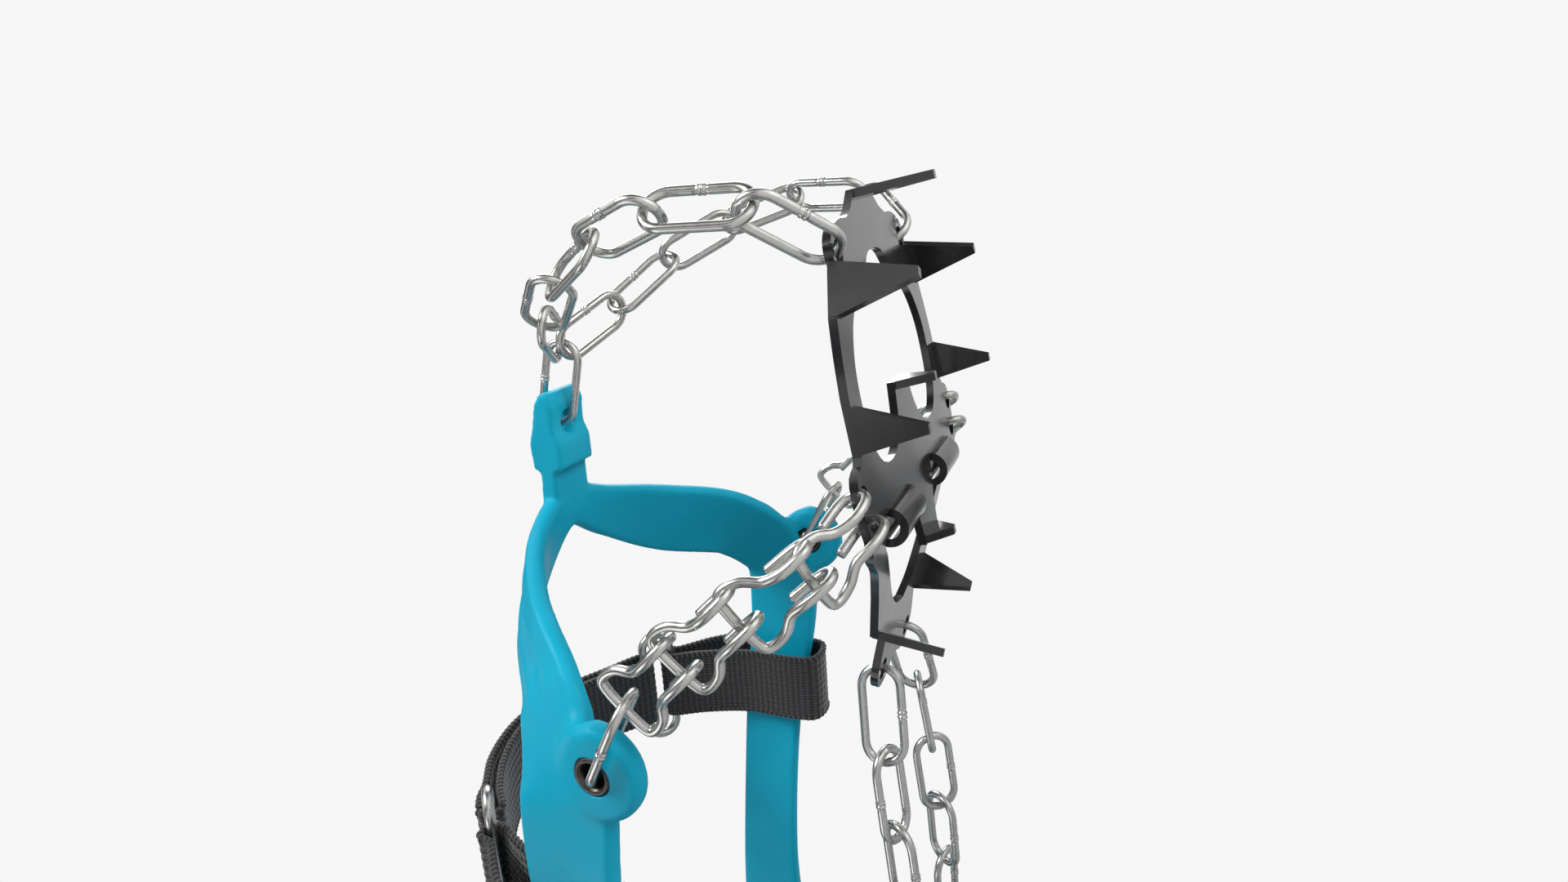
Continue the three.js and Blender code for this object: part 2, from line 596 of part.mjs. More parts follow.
function ribbonShape(points, closed, count) {
  const curve = new THREE.CatmullRomCurve3(points.map(([y, z]) => vec(y, z, 0)), closed, 'centripetal');
  const inner = [];
  const outer = [];
  for (let i = 0; i < count + (closed ? 0 : 1); i++) {
    const t = i / count;
    const middle = curve.getPointAt(t);
    const tangent = curve.getTangentAt(t);
    const offset = vec(-tangent.y, tangent.x, 0).multiplyScalar(WEBBING / 2);
    inner.push(new THREE.Vector2(middle.x + offset.x, middle.y + offset.y));
    outer.push(new THREE.Vector2(middle.x - offset.x, middle.y - offset.y));
  }
  if (!closed) return new THREE.Shape([...outer, ...inner.reverse()]);
  const shape = new THREE.Shape(outer);
  shape.holes.push(new THREE.Path(inner));
  return shape;
}

// A ribbon drawn in the YZ plane and given the webbing's width along X.
function ribbon(points, closed, count) {
  const solid = extruded(ribbonShape(points, closed, count), STRAP_WIDTH);
  const toYZ = new THREE.Matrix4().makeBasis(vec(0, 1, 0), vec(0, 0, 1), vec(1, 0, 0));
  return solid.applyMatrix4(toYZ).translate(STRAP_X - STRAP_WIDTH / 2, 0, 0);
}

// Points round a ring's bar; angles in degrees from the outward direction.
function turnRound([y, z], from, to, count) {
  return Array.from({ length: count + 1 }, (_, i) => {
    const angle = THREE.MathUtils.degToRad(from + ((to - from) * i) / count);
    return [y + TURN * Math.cos(angle), z + TURN * Math.sin(angle)];
  });
}

const arch = [[27, 93.6], [17, 100], [7, 103.6], [0, 104.3]];
const mirrored = (points) => points.map(([y, z]) => [-y, z]).reverse();
const mainRun = [...arch, ...mirrored(arch.slice(0, -1))];
const fold = turnRound(STRAP_BAR, -130, 50, 6);
const sewnEnd = [[31.2, 95.3], [27.6, 97.2], [18.4, 102.9]];
addPiece('instep_strap', ribbon([
  ...[...fold, ...sewnEnd].reverse(), ...mainRun, ...fold.map(([y, z]) => [-y, z]),
], false, 56), 'webbing');
addPiece('strap_end', ribbon([
  [-34.8, 93.1], [-31, 95.8], [-27.6, 97.2], [-18.4, 102.9], [-7.8, 106.4], [0, 107.2], [8, 106.3],
], false, 16), 'webbing');

for (const { name, sign } of SIDES) {
  const loop = [
    ...turnRound(LOOP_BAR, 200, -20, 6), [52, 74.5], [57.4, 64], [57.8, 47], [56.4, 42.4],
    [51.6, 41], [47, 42.4], [45.8, 48], [46, 63], [42, 76],
  ].map(([y, z]) => [sign * y, z]);
  addPiece(`${name}_strap_loop`, ribbon(sign > 0 ? loop.reverse() : loop, true, 36), 'webbing');
  const span = Math.hypot(LOOP_BAR[0] - STRAP_BAR[0], LOOP_BAR[1] - STRAP_BAR[1]) + RING_WIRE;
  const across = vec(0, sign * (STRAP_BAR[0] - LOOP_BAR[0]), STRAP_BAR[1] - LOOP_BAR[1]).normalize();
  const middle = vec(STRAP_X, (sign * (STRAP_BAR[0] + LOOP_BAR[0])) / 2, (STRAP_BAR[1] + LOOP_BAR[1]) / 2);
  const normal = new THREE.Vector3().crossVectors(vec(1, 0, 0), across);
  addPiece(`${name}_strap_ring`, ovalRing(RING_LENGTH, span, RING_WIRE), 'steel',
    frameFrom(middle, vec(1, 0, 0), normal));
}

export default model;
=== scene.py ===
# Shoe ice cleats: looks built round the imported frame. Metres, +X toe, +Z up, -Y right side.
# The object's sizes and places are given in millimetres, and MM turns them into metres.
import json
import math

import bmesh
import bpy
import numpy as np
from mathutils import Matrix, Vector


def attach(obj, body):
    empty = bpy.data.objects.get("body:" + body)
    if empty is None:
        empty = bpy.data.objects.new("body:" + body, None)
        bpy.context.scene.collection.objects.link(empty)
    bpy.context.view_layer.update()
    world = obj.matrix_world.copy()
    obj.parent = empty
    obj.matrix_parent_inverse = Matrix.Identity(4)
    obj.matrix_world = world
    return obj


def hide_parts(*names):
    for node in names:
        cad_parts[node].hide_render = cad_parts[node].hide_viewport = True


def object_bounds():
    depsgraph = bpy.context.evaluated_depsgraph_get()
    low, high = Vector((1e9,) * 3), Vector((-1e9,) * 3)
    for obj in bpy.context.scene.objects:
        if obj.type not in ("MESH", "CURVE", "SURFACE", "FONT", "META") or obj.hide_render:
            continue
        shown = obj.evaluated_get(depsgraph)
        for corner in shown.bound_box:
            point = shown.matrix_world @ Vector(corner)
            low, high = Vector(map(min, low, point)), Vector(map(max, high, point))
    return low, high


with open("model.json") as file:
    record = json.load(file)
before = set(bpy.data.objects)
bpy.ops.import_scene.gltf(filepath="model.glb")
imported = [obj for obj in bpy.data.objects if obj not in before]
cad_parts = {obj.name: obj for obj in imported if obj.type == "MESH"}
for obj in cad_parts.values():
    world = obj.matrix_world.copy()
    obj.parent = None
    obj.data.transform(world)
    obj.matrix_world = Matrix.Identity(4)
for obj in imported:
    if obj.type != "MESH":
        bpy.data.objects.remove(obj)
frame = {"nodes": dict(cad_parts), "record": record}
CAD_BOX = [list(map(float, corner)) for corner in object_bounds()]
NODES = frame["nodes"]
BODY_OF = {n: b for b, ns in frame["record"]["behaviour"]["bodies"].items() for n in ns}
JOINT_OF = {j["child"]: j for j in frame["record"]["behaviour"]["joints"]}
MM = 0.001

# ---- driving sizes -----------------------------------------------------
LINK_LENGTH = 21.0
LINK_WIDTH = 10.0
WIRE = 1.8
WELD_SWELL = 0.14                 # the collar left by a weld, as a share of the wire's radius
WELD_CREASE = 0.26                # and the creases at its ends and middle, likewise
WELD_EDGE = 9                     # how sharply the collar ends
WELD_END_CREASE = 0.16
WELD_SEAM = 0.14
LADDER_WIRE = 1.8
LADDER_PITCH = 13.5
LADDER_HOOK_SPACING = 6.2         # between an element's two hooks
LADDER_WIDE = 12.4                # over an element's two arms
LADDER_TAIL = 5.4                 # a hook's cut tail runs back this far
HOOK_RADIUS = LADDER_WIRE + 0.9
RING_LENGTH = 35.0
RING_WIRE = 2.4
GROMMET_THROAT = 2.4              # radius of an eyelet's opening
BOOT_MIDDLE = np.array([0.0, 0.0, 40.0]) * MM


# ---- small geometry helpers --------------------------------------------
def mesh_object(name, verts, faces, smooth=True):
    mesh = bpy.data.meshes.new(name)
    mesh.from_pydata([tuple(v) for v in verts], [], faces)
    mesh.validate()
    mesh.update()
    obj = bpy.data.objects.new(name, mesh)
    bpy.context.scene.collection.objects.link(obj)
    if smooth:
        mesh.shade_smooth()
    return obj


def node_points(node):
    mesh = NODES[node].data
    co = np.zeros(len(mesh.vertices) * 3)
    mesh.vertices.foreach_get("co", co)
    return co.reshape(-1, 3)


def unit(v):
    v = np.asarray(v, float)
    return v / np.linalg.norm(v)


def principal_axes(points):
    """Main directions of a point cloud, the longest first."""
    spread = points - points.mean(0)
    _, _, axes = np.linalg.svd(spread, full_matrices=False)
    return axes


def wrapped_faces(rings, sides, closed, turn=0):
    """Quads between neighbouring rings of points. An open row of rings gets a cap at each end."""
    faces = []
    for i in range(rings if closed else rings - 1):
        j = (i + 1) % rings
        shift = turn if j == 0 else 0
        for k in range(sides):
            k2 = (k + 1) % sides
            faces.append((
                i * sides + k, j * sides + (k - shift) % sides,
                j * sides + (k2 - shift) % sides, i * sides + k2,
            ))
    if not closed:
        faces.append(tuple(range(sides)))
        faces.append(tuple((rings - 1) * sides + k for k in reversed(range(sides))))
    return faces


def swept(path, radii, sides, closed):
    """Round tube along a path of points, as vertices and faces."""
    path = np.asarray(path, float)
    count = len(path)
    if closed:
        tangent = np.roll(path, -1, 0) - np.roll(path, 1, 0)
    else:
        tangent = np.gradient(path, axis=0)
    tangent /= np.linalg.norm(tangent, axis=1)[:, None]
    start = np.array([0.0, 0.0, 1.0])
    if abs(start @ tangent[0]) > 0.95:
        start = np.array([0.0, 1.0, 0.0])
    normal = np.zeros_like(path)
    normal[0] = unit(start - tangent[0] * (start @ tangent[0]))
    for i in range(1, count):
        normal[i] = unit(normal[i - 1] - tangent[i] * (normal[i - 1] @ tangent[i]))
    side = np.cross(tangent, normal)
    angle = np.arange(sides) * 2 * math.pi / sides
    verts = []
    for i in range(count):
        for a in angle:
            verts.append(path[i] + radii[i] * (normal[i] * math.cos(a) + side[i] * math.sin(a)))
    twist = math.atan2(side[-1] @ normal[0], normal[-1] @ normal[0])
    turn = int(round(twist / (2 * math.pi / sides)))
    return np.array(verts), wrapped_faces(count, sides, closed, turn)


def placed(verts, origin, x_axis, z_axis):
    """Local points in millimetres put into the object's frame, in metres."""
    x = unit(x_axis)
    z_axis = np.asarray(z_axis, float)
    z = unit(z_axis - x * (z_axis @ x))
    y = np.cross(z, x)
    return np.asarray(origin) + MM * (np.asarray(verts) @ np.array([x, y, z]))


def fix_normals(obj, merge_within=0.0):
    """Turns all faces outward, after joining any points closer than merge_within metres."""
    bm = bmesh.new()
    bm.from_mesh(obj.data)
    if merge_within:
        bmesh.ops.remove_doubles(bm, verts=bm.verts, dist=merge_within)
    bmesh.ops.recalc_face_normals(bm, faces=bm.faces)
    bm.to_mesh(obj.data)
    bm.free()


def stand_for(obj, node):
    """Shows a piece in place of its CAD node, on the node's body."""
    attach(obj, BODY_OF[node])
    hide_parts(node)


def finish_piece(obj, node, material):
    fix_normals(obj)
    obj.data.materials.clear()
    obj.data.materials.append(material)
    stand_for(obj, node)


def catmull(points, count, closed=False):
    """Smooth curve through the points (centripetal Catmull-Rom), sampled evenly by length."""
    steps = 24
    p = np.asarray(points, float)
    if closed:
        ring = np.vstack([p[-1], p, p[0], p[1]])
        spans = len(p)
    else:
        ring = np.vstack([2 * p[0] - p[1], p, 2 * p[-1] - p[-2]])
        spans = len(p) - 1
    fine = []
    for i in range(spans):
        a, b, c, d = ring[i:i + 4]
        t0 = 0.0
        t1 = t0 + max(np.linalg.norm(b - a), 1e-6) ** 0.5
        t2 = t1 + max(np.linalg.norm(c - b), 1e-6) ** 0.5
        t3 = t2 + max(np.linalg.norm(d - c), 1e-6) ** 0.5
        for t in np.linspace(t1, t2, steps, endpoint=False):
            ab = a * (t1 - t) / (t1 - t0) + b * (t - t0) / (t1 - t0)
            bc = b * (t2 - t) / (t2 - t1) + c * (t - t1) / (t2 - t1)
            cd = c * (t3 - t) / (t3 - t2) + d * (t - t2) / (t3 - t2)
            abc = ab * (t2 - t) / (t2 - t0) + bc * (t - t0) / (t2 - t0)
            bcd = bc * (t3 - t) / (t3 - t1) + cd * (t - t1) / (t3 - t1)
            fine.append(abc * (t2 - t) / (t2 - t1) + bcd * (t - t1) / (t2 - t1))
    fine.append(p[0] if closed else p[-1])
    fine = np.array(fine)
    run = np.concatenate([[0], np.cumsum(np.linalg.norm(np.diff(fine, axis=0), axis=1))])
    want = np.linspace(0, run[-1], count + 1 if closed else count)
    out = np.column_stack([np.interp(want, run, fine[:, k]) for k in range(fine.shape[1])])
    return out[:-1] if closed else out


# ---- materials -----------------------------------------------------------
def new_material(name):
    mat = bpy.data.materials.new(name)
    mat.use_nodes = True
    tree = mat.node_tree
    return mat, tree, tree.nodes["Principled BSDF"]


def add(tree, kind, **values):
    node = tree.nodes.new(kind)
    for key, value in values.items():
        if key.startswith("in_"):
            node.inputs[key[3:].replace("_", " ")].default_value = value
        else:
            setattr(node, key, value)
    return node


def noise(tree, coord, scale, detail=3.0, rough=0.5):
    node = add(tree, "ShaderNodeTexNoise", in_Scale=scale, in_Detail=detail, in_Roughness=rough)
    tree.links.new(coord, node.inputs["Vector"])
    return node.outputs["Fac"]


def ramp(tree, source, stops):
    node = add(tree, "ShaderNodeValToRGB")
    elements = node.color_ramp.elements
    while len(elements) < len(stops):
        elements.new(0.5)
    for element, (where, colour) in zip(elements, stops):
        element.position = where
        element.color = (*colour, 1) if isinstance(colour, tuple) else (colour,) * 3 + (1,)
    tree.links.new(source, node.inputs["Fac"])
    return node.outputs["Color"]


def bump(tree, bsdf, height, strength, distance):
    node = add(tree, "ShaderNodeBump", in_Strength=strength, in_Distance=distance)
    tree.links.new(height, node.inputs["Height"])
    previous = bsdf.inputs["Normal"].links
    if previous:
        tree.links.new(previous[0].from_socket, node.inputs["Normal"])
    tree.links.new(node.outputs["Normal"], bsdf.inputs["Normal"])


def position(tree):
    return add(tree, "ShaderNodeTexCoord").outputs["Object"]


def drive(tree, bsdf, socket, source, stops):
    """Lets a pattern set one of the shader's inputs through a ramp."""
    tree.links.new(ramp(tree, source, stops), bsdf.inputs[socket])


def steel_material():
    mat, tree, bsdf = new_material("bright_zinc_wire")
    at = position(tree)
    bsdf.inputs["Metallic"].default_value = 1.0
    drive(tree, bsdf, "Base Color", noise(tree, at, 260, 4), [
        (0.3, (0.48, 0.475, 0.46)), (0.7, (0.55, 0.545, 0.53)),
    ])
    drive(tree, bsdf, "Roughness", noise(tree, at, 900, 5), [(0.3, 0.25), (0.75, 0.33)])
    bump(tree, bsdf, noise(tree, at, 1400, 2), 0.03, 0.00004)
    return mat


def plate_material():
    mat, tree, bsdf = new_material("gloss_black_plate")
    at = position(tree)
    drive(tree, bsdf, "Base Color", noise(tree, at, 60, 5), [
        (0.35, (0.006, 0.006, 0.007)), (0.8, (0.016, 0.016, 0.018)),
    ])
    drive(tree, bsdf, "Roughness", noise(tree, at, 140, 6, 0.65), [(0.35, 0.17), (0.75, 0.27)])
    bsdf.inputs["Coat Weight"].default_value = 0.45
    bsdf.inputs["Coat Roughness"].default_value = 0.09
    bump(tree, bsdf, noise(tree, at, 420, 2), 0.12, 0.0001)
    return mat


def plate_edge_material():
    mat, tree, bsdf = new_material("worn_plate_edge")
    at = position(tree)
    worn = noise(tree, at, 240, 6, 0.7)
    drive(tree, bsdf, "Base Color", worn, [(0.5, (0.012, 0.012, 0.013)), (0.62, (0.30, 0.29, 0.28))])
    drive(tree, bsdf, "Metallic", worn, [(0.5, 0.0), (0.62, 1.0)])
    drive(tree, bsdf, "Roughness", worn, [(0.4, 0.2), (0.7, 0.42)])
    bump(tree, bsdf, worn, 0.3, 0.0001)
    return mat


def elastomer_material():
    mat, tree, bsdf = new_material("moulded_elastomer")
    at = position(tree)
    drive(tree, bsdf, "Base Color", noise(tree, at, 35, 4), [
        (0.3, (0.0025, 0.265, 0.395)), (0.7, (0.004, 0.325, 0.47)),
    ])
    drive(tree, bsdf, "Roughness", noise(tree, at, 160, 5), [(0.3, 0.42), (0.8, 0.56)])
    bsdf.inputs["Specular IOR Level"].default_value = 0.12
    bump(tree, bsdf, noise(tree, at, 1600, 3), 0.25, 0.00006)
    bump(tree, bsdf, noise(tree, at, 220, 2), 0.15, 0.0003)
    return mat


def webbing_material():
    mat, tree, bsdf = new_material("ribbed_webbing")
    uv = add(tree, "ShaderNodeTexCoord").outputs["UV"]
    ribs = add(tree, "ShaderNodeTexWave", wave_type="BANDS", bands_direction="X",
               in_Scale=190.0, in_Distortion=0.4, in_Detail=1.0)
    weft = add(tree, "ShaderNodeTexWave", wave_type="BANDS", bands_direction="Y",
               in_Scale=330.0, in_Distortion=0.6, in_Detail=1.0)
    for wave in (ribs, weft):
        tree.links.new(uv, wave.inputs["Vector"])
    both = add(tree, "ShaderNodeMath", operation="MULTIPLY")
    tree.links.new(ribs.outputs["Fac"], both.inputs[0])
    tree.links.new(weft.outputs["Fac"], both.inputs[1])
    drive(tree, bsdf, "Base Color", both.outputs["Value"], [
        (0.0, (0.006, 0.006, 0.007)), (1.0, (0.045, 0.045, 0.048)),
    ])
    bsdf.inputs["Roughness"].default_value = 0.82
    bsdf.inputs["Sheen Weight"].default_value = 0.35
    bsdf.inputs["Sheen Roughness"].default_value = 0.4
    fuzz = noise(tree, position(tree), 2600, 3)
    bump(tree, bsdf, both.outputs["Value"], 0.7, 0.00022)
    bump(tree, bsdf, fuzz, 0.35, 0.0001)
    return mat


def thread_material():
    mat, tree, bsdf = new_material("edge_thread")
    at = position(tree)
    drive(tree, bsdf, "Base Color", noise(tree, at, 1800, 4), [
        (0.3, (0.012, 0.012, 0.013)), (0.7, (0.05, 0.05, 0.052)),
    ])
    bsdf.inputs["Roughness"].default_value = 0.7
    bsdf.inputs["Sheen Weight"].default_value = 0.3
    bump(tree, bsdf, noise(tree, at, 3000, 3), 0.5, 0.0001)
    return mat


def grommet_material():
    mat, tree, bsdf = new_material("dark_grommet")
    at = position(tree)
    bsdf.inputs["Metallic"].default_value = 1.0
    drive(tree, bsdf, "Base Color", noise(tree, at, 500, 5), [
        (0.3, (0.05, 0.045, 0.042)), (0.7, (0.11, 0.098, 0.09)),
    ])
    drive(tree, bsdf, "Roughness", noise(tree, at, 1200, 4), [(0.3, 0.28), (0.7, 0.5)])
    bump(tree, bsdf, noise(tree, at, 900, 3), 0.3, 0.0001)
    return mat


STEEL = steel_material()
PLATE = plate_material()
PLATE_EDGE = plate_edge_material()
ELASTOMER = elastomer_material()
WEBBING = webbing_material()
THREAD = thread_material()
GROMMET = grommet_material()


# ---- welded links ----------------------------------------------------------
def ring_path(length, width, wire):
    """Centre line of an oval ring. Its points crowd together at the middle of its sides."""
    turn_steps = 18
    side_steps = 36
    along = np.linspace(-1, 1, side_steps + 1)[1:-1]
    radius = (width - wire) / 2
    straight = (length - width) / 2
    points = []
    for end in (1, -1):
        for i in range(turn_steps + 1):
            a = math.radians(-90 * end + 180 * i / turn_steps)
            points.append((end * straight + radius * math.cos(a), radius * math.sin(a), 0))
        for s in np.sign(along) * np.abs(along) ** 1.5:
            points.append((-end * s * straight, end * radius, 0))
    return np.array(points)


def welded_ring(node, length, width, wire):
    """Oval wire ring in its node's place, with its weld on the side away from the boot."""
    points = node_points(node)
    joint = JOINT_OF.get(BODY_OF[node])
    long_axis, _, normal = principal_axes(points)
    centre = points.mean(0)
    if joint and joint["type"] == "hinge":
        long_axis = unit(joint["axis"])
    weld_side = 1 if np.cross(normal, long_axis) @ (centre - BOOT_MIDDLE) > 0 else -1
    path = ring_path(length, width, wire)
    on_weld = np.abs(path[:, 1] - weld_side * (width - wire) / 2) < 1e-6
    along = path[:, 0]
    past_end = np.abs(along) - 0.5 * wire
    collar = 1 / (1 + np.exp(past_end * WELD_EDGE))
    creases = np.exp(-(past_end / WELD_END_CREASE) ** 2) + np.exp(-(along / WELD_SEAM) ** 2)
    swell = WELD_SWELL * collar - WELD_CREASE * creases
    radii = wire / 2 * (1 + np.where(on_weld, swell, 0))
    verts, faces = swept(path, radii, 16, True)
    obj = mesh_object(node + "_wire", placed(verts, centre, long_axis, normal), faces)
    finish_piece(obj, node, STEEL)


for node in sorted(n for n in NODES if "_chain_" in n or "_link_" in n):
    welded_ring(node, LINK_LENGTH, LINK_WIDTH, WIRE)
for node in ("right_strap_ring", "left_strap_ring"):
    across = node_points(node) @ principal_axes(node_points(node))[1] / MM
    welded_ring(node, RING_LENGTH, np.ptp(across), RING_WIRE)


# ---- ladder elements ---------------------------------------------------------
LADDER_SAMPLES = 150


def ladder_path():
    """Centre line of an element: a crossbar, two waved arms and two hooks with cut tails."""
    wide = LADDER_WIDE / 2
    narrow = LADDER_HOOK_SPACING / 2
    hook_steps = 4
    arm = [                       # from the crossbar to the hook, as (along, across, out)
        (0, wide - 1.6, 0), (0.5, wide - 0.4, 0), (1.9, wide, 0.1), (4.6, wide - 0.6, 0.5),
        (7.4, narrow + 0.45, 1.3), (10.6, narrow, HOOK_RADIUS - 0.05),
    ]
    for i in range(hook_steps + 1):
        a = i / hook_steps * math.pi
        arm.append((LADDER_PITCH + HOOK_RADIUS * math.sin(a), narrow, HOOK_RADIUS * math.cos(a)))
    arm.append((LADDER_PITCH - LADDER_TAIL, narrow, -HOOK_RADIUS))
    other_arm = [(x, -y, z) for x, y, z in reversed(arm)]
    return catmull(other_arm + arm, LADDER_SAMPLES)


LADDER_RADII = [LADDER_WIRE / 2] * LADDER_SAMPLES
LADDER_VERTS, LADDER_FACES = swept(ladder_path(), LADDER_RADII, 14, False)
for node in [n for n in NODES if "_ladder_" in n]:
    joint = JOINT_OF[BODY_OF[node]]
    pivot = np.array(joint["pos_m"])
    normal = unit(joint["axis"])
    points = node_points(node)
    toward = pivot - (points.max(0) + points.min(0)) / 2
    toward = unit(toward - normal * (toward @ normal))
    crossbar = pivot - toward * LADDER_PITCH * MM
    verts = placed(LADDER_VERTS, crossbar, toward, normal)
    finish_piece(mesh_object(node + "_wire", verts, LADDER_FACES), node, STEEL)


# ---- grommets -----------------------------------------------------------------
def lathe(profile, sides):
    """Solid turned about local Z from a closed outline of (radius, height) points."""
    verts = []
    for i in range(sides):
        a = 2 * math.pi * i / sides
        verts += [(r * math.cos(a), r * math.sin(a), z) for r, z in profile]
    return np.array(verts), wrapped_faces(sides, len(profile), True)


def eyelet(node):
    """Rolled eyelet whose height and flange follow its node."""
    points = node_points(node)
    axes = principal_axes(points)
    span = np.ptp((points - points.mean(0)) @ axes.T / MM, axis=0)
    half = span.min() / 2
    flange = span.max() / 2
    throat = GROMMET_THROAT
    outline = [
        (throat, half - 1.0), (throat + 0.12, half - 0.45), (throat + 0.42, half - 0.12),
        (throat + 0.8, half), (flange - 0.45, half - 0.06), (flange - 0.12, half - 0.22),
        (flange, half - 0.45), (flange - 0.3, half - 0.5), (throat + 0.5, half - 0.5),
    ]
    outline += [(r, -z) for r, z in reversed(outline)]
    verts, faces = lathe(outline, 48)
    axis = axes[int(np.argmin(span))]
    flat = axes[int(np.argmax(span))]
    obj = mesh_object(node + "_eyelet", placed(verts, points.mean(0), flat, axis), faces)
    finish_piece(obj, node, GROMMET)


for node in [n for n in NODES if n.endswith("_grommet")]:
    eyelet(node)


# ---- plates ---------------------------------------------------------------------
PLATE_ROUNDING = 0.32


def pressed_plate(node):
    """The node's own sheet with rounded, worn edges."""
    obj = bpy.data.objects.new(node + "_pressing", NODES[node].data.copy())
    bpy.context.scene.collection.objects.link(obj)
    bm = bmesh.new()
    bm.from_mesh(obj.data)
    bmesh.ops.remove_doubles(bm, verts=bm.verts, dist=2e-6)
    bmesh.ops.dissolve_limit(bm, angle_limit=math.radians(1), verts=bm.verts, edges=bm.edges)
    bm.to_mesh(obj.data)
    bm.free()
    bevel = obj.modifiers.new("soft_edges", "BEVEL")
    bevel.width = PLATE_ROUNDING * MM
    bevel.segments = 3
    bevel.limit_method = "ANGLE"
    bevel.angle_limit = math.radians(32)
    bevel.harden_normals = False
    bevel.material = 1
    bevel.use_clamp_overlap = True
    obj.data.materials.clear()
    obj.data.materials.append(PLATE)
    obj.data.materials.append(PLATE_EDGE)
    for face in obj.data.polygons:
        face.material_index = 0
    obj.data.shade_smooth()
    smooth = obj.modifiers.new("even_shading", "WEIGHTED_NORMAL")
    smooth.keep_sharp = True
    stand_for(obj, node)


for node in ("front_spike_plate", "heel_spike_plate"):
    pressed_plate(node)


# ---- harness -----------------------------------------------------------------------
# Right half of the band, from the toe round to the heel: the middle of its surface, its outward
# direction and its half width.
BAND = [
    ((58, 0, 84), (0.05, 0, 1), 5), ((52.5, -13, 82.6), (0.12, -0.35, 0.93), 6.5),
    ((45, -29, 75), (0.14, -0.80, 0.58), 9.5), ((38, -44, 61.5), (0.08, -0.97, 0.20), 10),
    ((26, -53, 53), (0.02, -1, 0.08), 10.5), ((10, -54.5, 53), (0, -1, 0.04), 10),
    ((-25, -50, 57), (0, -1, 0.02), 8.5), ((-65, -43, 58), (0, -1, 0), 8.5),
    ((-100, -40, 58), (-0.08, -1, 0), 10), ((-132, -30, 62), (-0.6, -0.8, 0), 9.5),
    ((-151, 0, 66), (-1, 0, 0), 12),
]
BAND_THICKNESS = 4.2
BAND_ROUNDING = 1.5
BAND_STATIONS = 420
BAND_COLUMNS = 26
SKIN_VOXEL = 0.55
# Right-hand ears, front and rear: the middle of the eyelet and its outward direction.
EARS = [((31.3, -55.2, 43.9), (0.02, -1, 0.06)), ((-100, -41, 45), (-0.06, -1, 0))]
EAR_RADIUS = 9.5
EAR_THICKNESS = 4.6
EAR_ROUNDING = 1.7
EAR_SINK = 2.1                    # an ear's upper edge lies this far back, flush with the band
ROOT_RISE = 8.5                   # an ear's root lies this far above its eyelet
ROOT_REACH = (15.0, 7.0, 8.5)     # and blends into the band this far round it
EYELET_HOLE = 2.95                # radii of the hole and of the seats for the eyelet's flanges
EYELET_SEAT = 3.9
SEAT_DEPTH = 0.65
TAB_HOLE = 3.0
TAB_HOLE_AT = (79, 0, 83)
TAB_HALF_WIDTH = 6.5
TAB_SIDE = [                      # the toe tab from the side, as (x, z)
    (56, 81.8), (57, 86.0), (63, 85.9), (68.2, 85.6), (68.8, 87.4), (75, 87.5), (78.5, 86.3),
    (84.0, 85.0), (86.6, 83.2), (86.3, 81.1), (83.5, 80.2), (78, 80.7), (74.5, 79.4), (68.8, 79.4),
    (68.2, 81.6), (60, 81.7),
]
# Depth of the band's moulded groove and height of the ribs beside it, along the way s from the
# toe tab (0) to the middle of the heel (1).
GROOVE_DEPTH = ([0.0, 0.03, 0.10, 0.17, 0.21, 1], [0, 0, 1.9, 2.6, 0, 0])
RIB_HEIGHT = ([0.0, 0.03, 0.10, 0.18, 0.23, 1], [0, 0, 0.4, 0.5, 0, 0])
GROOVE_HALF_WIDTH = ([0.05, 0.20], [0.9, 2.3])


def band_rise(across, half, s):
    """How far the band's face stands off its middle surface, at a place across it."""
    rise = BAND_THICKNESS / 2
    edge = half - abs(across)
    if edge < BAND_ROUNDING:
        rise -= BAND_ROUNDING - math.sqrt(max(BAND_ROUNDING ** 2 - (BAND_ROUNDING - edge) ** 2, 0))
    groove = np.interp(s, *GROOVE_HALF_WIDTH)
    rib = (abs(across) - 1.3 - groove) / 1.3
    rise -= math.exp(-(across / groove) ** 2) * np.interp(s, *GROOVE_DEPTH)
    return rise + math.exp(-rib ** 2) * np.interp(s, *RIB_HEIGHT)


def band_mesh(stations, columns):
    """The closed band as one loft, with its groove on the outer face."""
    rows = [np.array([*at, *(8 * np.array(out)), half]) for at, out, half in BAND]
    to_left = np.array([1, -1, 1, 1, -1, 1, 1])
    loop = rows + [row * to_left for row in rows[-2:0:-1]]
    ring = catmull(loop, stations, True)
    offsets = np.linspace(-1, 1, columns)
    offsets = np.sign(offsets) * (1 - (1 - np.abs(offsets)) ** 1.25)
    verts = []
    for i, row in enumerate(ring):
        tangent = unit(ring[(i + 1) % stations][:3] - ring[i - 1][:3])
        out = unit(row[3:6])
        out = unit(out - tangent * (out @ tangent))
        side = np.cross(tangent, out)
        half = row[6]
        s = 2 * min(i, stations - i) / stations
        outer = [(w * half, band_rise(w * half, half, s)) for w in offsets]
        inner = [(w * half, -band_rise(w * half, half, 1)) for w in offsets[::-1]]
        verts += [row[:3] + side * w + out * rise for w, rise in outer + inner]
    return np.array(verts) * MM, wrapped_faces(stations, 2 * columns, True)


